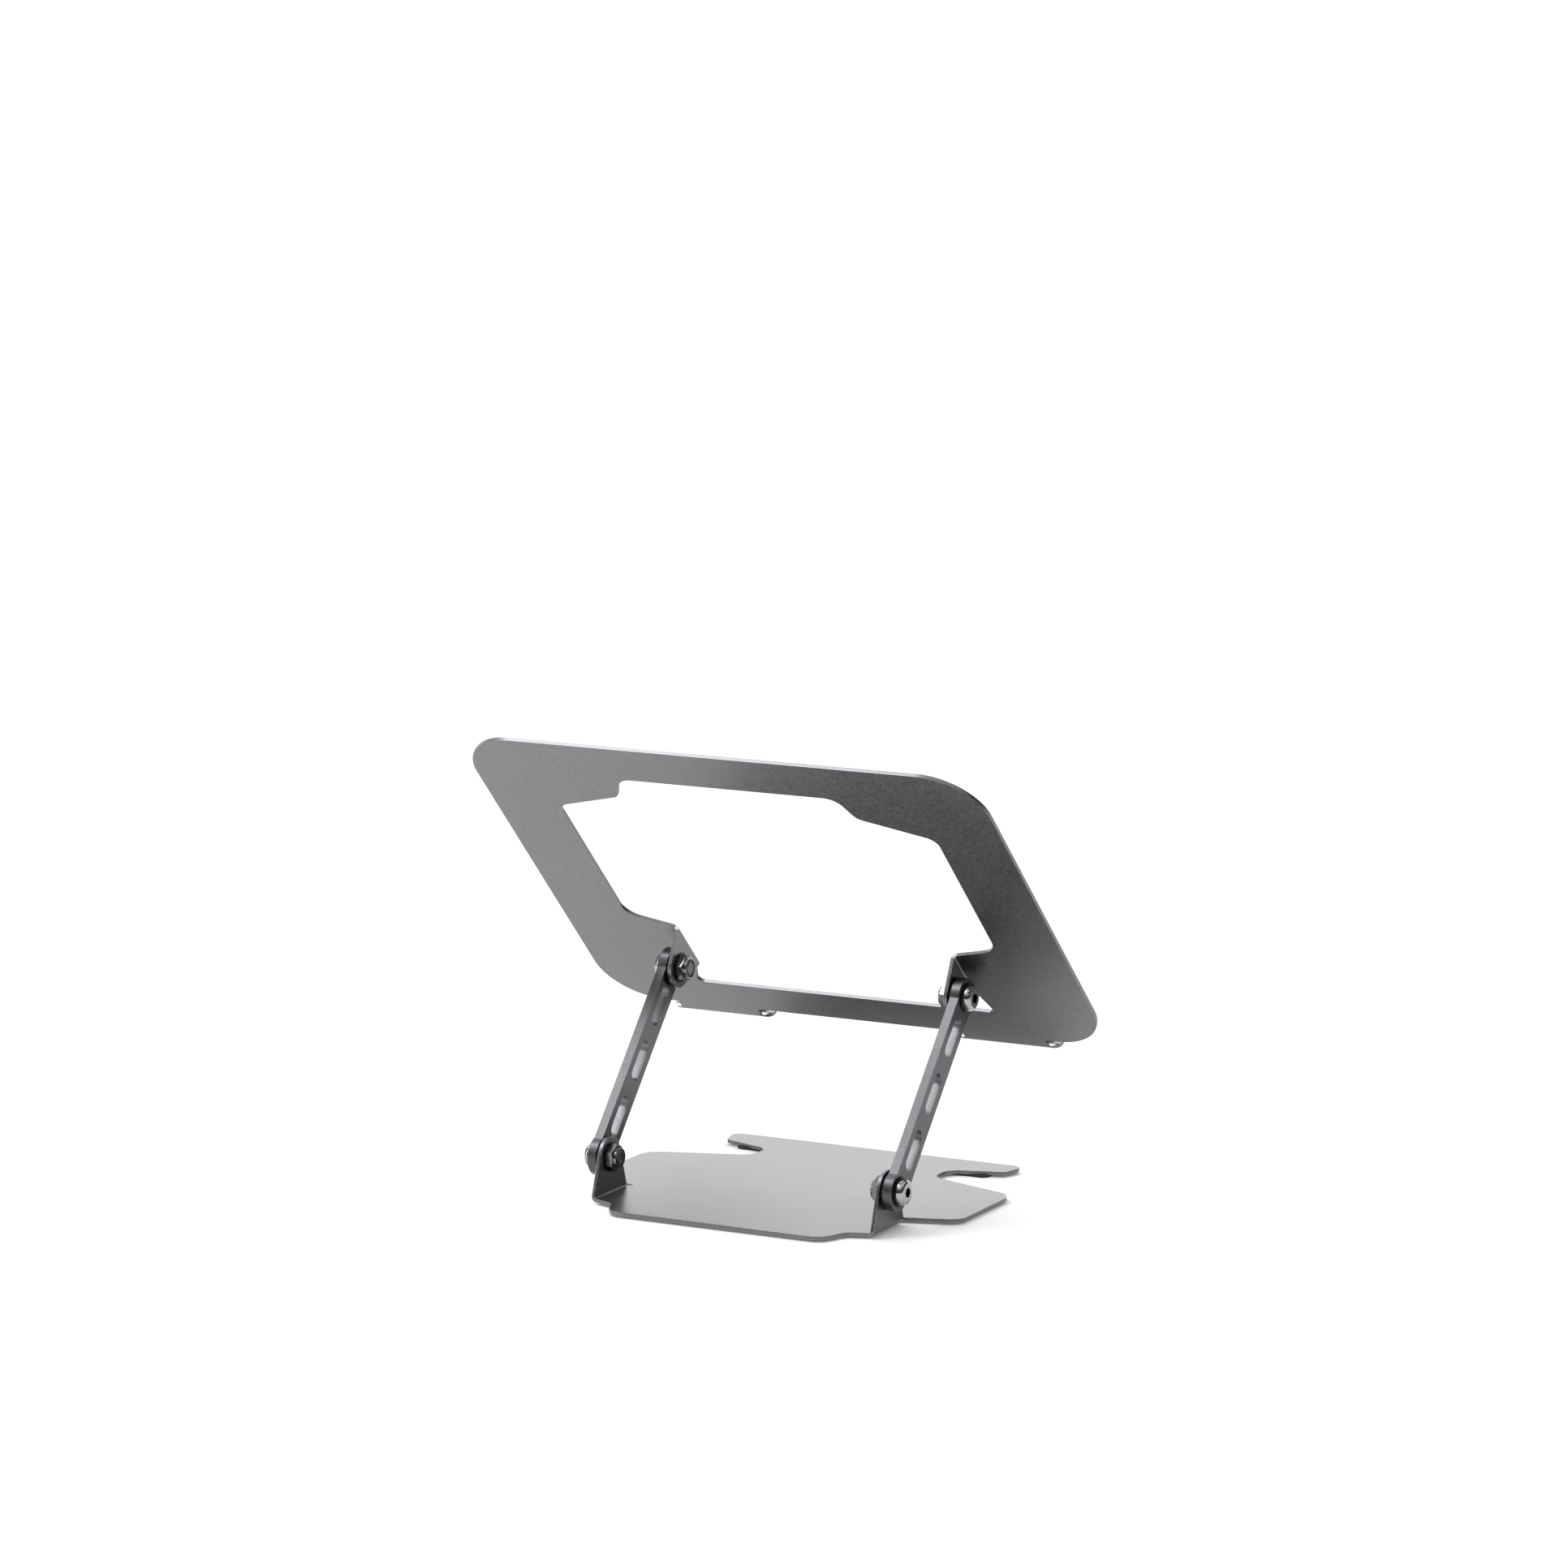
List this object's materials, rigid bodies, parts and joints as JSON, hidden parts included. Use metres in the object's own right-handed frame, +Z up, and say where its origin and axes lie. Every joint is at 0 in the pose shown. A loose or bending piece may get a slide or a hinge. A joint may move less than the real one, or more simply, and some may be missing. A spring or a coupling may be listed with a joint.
{
  "type": "laptop stand",
  "caption": "Folding laptop stand: bent-sheet base, slotted arms on friction pivots, and a tilted frame-shaped top plate with front lips; folds flat.",
  "frame": {"origin": "on the desk, at the middle of the base plate's footprint, on the underside of the middle foot", "axes": "+Z up; +X along the hinge axes, to the left of a person who looks at the stand from behind; -Y towards the user, the side of the lips"},
  "size_m": [0.3, 0.1924, 0.2503],
  "materials": {
    "base_plate": "bead-blasted, space grey",
    "top_plate": "bead-blasted, space grey",
    "arms": "bead-blasted, space grey",
    "bolts": "polished nickel plating",
    "nuts": "dark nickel plating",
    "nut_inserts": "nylon",
    "plain_washers": "blackened steel",
    "spring_washers": "blackened spring steel",
    "friction_washers": "nylon",
    "pads": "matt silicone",
    "feet": "matt rubber"
  },
  "bodies": {
    "base": {"base_plate": "base_plate", "foot_rear": "feet", "foot_middle": "feet", "foot_front": "feet", "left_low_bolt": "bolts", "left_low_spring_washer": "spring_washers", "left_low_washer": "plain_washers", "left_low_friction_washer": "friction_washers", "left_low_nut_washer": "plain_washers", "left_low_nut": "nuts", "left_low_nut_insert": "nut_inserts", "right_low_bolt": "bolts", "right_low_spring_washer": "spring_washers", "right_low_washer": "plain_washers", "right_low_friction_washer": "friction_washers", "right_low_nut_washer": "plain_washers", "right_low_nut": "nuts", "right_low_nut_insert": "nut_inserts"},
    "arms": {"left_arm": "arms", "right_arm": "arms"},
    "upper_pivots": {"left_top_bolt": "bolts", "left_top_spring_washer": "spring_washers", "left_top_washer": "plain_washers", "left_top_friction_washer": "friction_washers", "left_top_nut_washer": "plain_washers", "left_top_nut": "nuts", "left_top_nut_insert": "nut_inserts", "right_top_bolt": "bolts", "right_top_spring_washer": "spring_washers", "right_top_washer": "plain_washers", "right_top_friction_washer": "friction_washers", "right_top_nut_washer": "plain_washers", "right_top_nut": "nuts", "right_top_nut_insert": "nut_inserts"},
    "top": {"top_plate": "top_plate", "left_pad": "pads", "right_pad": "pads", "left_lip_pad": "pads", "right_lip_pad": "pads"}
  },
  "joints": [
    {"name": "arm_fold", "type": "hinge", "parent": "base", "child": "arms", "pos_m": [0, 0.05721, 0.0223], "axis": [1, 0, 0], "range_deg": [-15, 52.3]},
    {"name": "upper_pivot", "type": "hinge", "parent": "arms", "child": "upper_pivots", "pos_m": [0, -0.02089, 0.10995], "axis": [1, 0, 0], "range_deg": [-97.31, 27.92]},
    {"name": "plate_tilt", "type": "hinge", "parent": "upper_pivots", "child": "top", "pos_m": [0, -0.02089, 0.10995], "axis": [1, 0, 0], "range_deg": [-8, 20]}
  ],
  "couplings": [
    {"joint": "upper_pivot", "follows": "arm_fold", "ratio": -1.8604}
  ]
}
